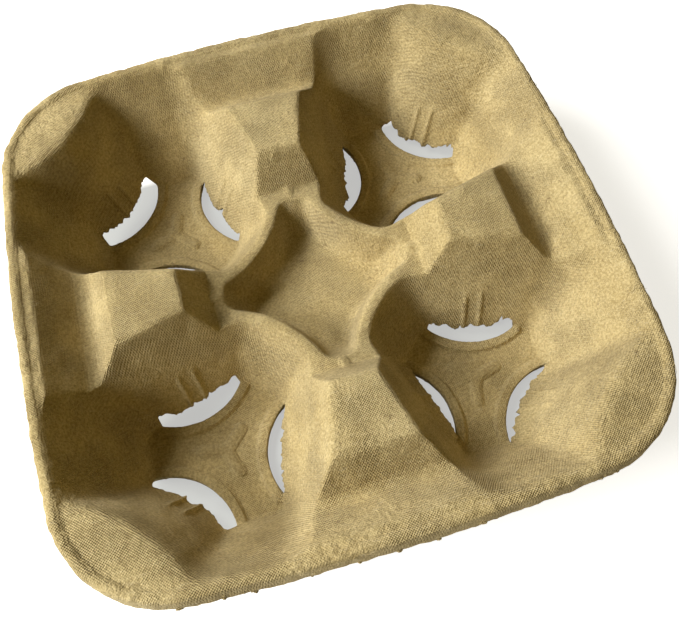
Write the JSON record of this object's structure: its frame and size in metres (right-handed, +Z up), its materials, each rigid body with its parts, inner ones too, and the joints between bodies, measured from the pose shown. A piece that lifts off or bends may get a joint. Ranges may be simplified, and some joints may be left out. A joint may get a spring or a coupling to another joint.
{
  "type": "moulded pulp cup carrier tray",
  "caption": "Moulded pulp drinks carrier: square tray with cup wells in the corners, hollow posts between them, a middle pan, slotted floors and a turned-down rolled lip",
  "frame": {"origin": "middle of the tray in plan, at the height of the undersides of the four well floors", "axes": "+Z up out of the wells; +X and +Y square to the tray's sides"},
  "size_m": [0.2146, 0.2146, 0.0472],
  "materials": {
    "moulded_pulp": "matte, fibrous"
  },
  "bodies": {
    "root": {"pulp_tray": "moulded_pulp"}
  },
  "joints": []
}
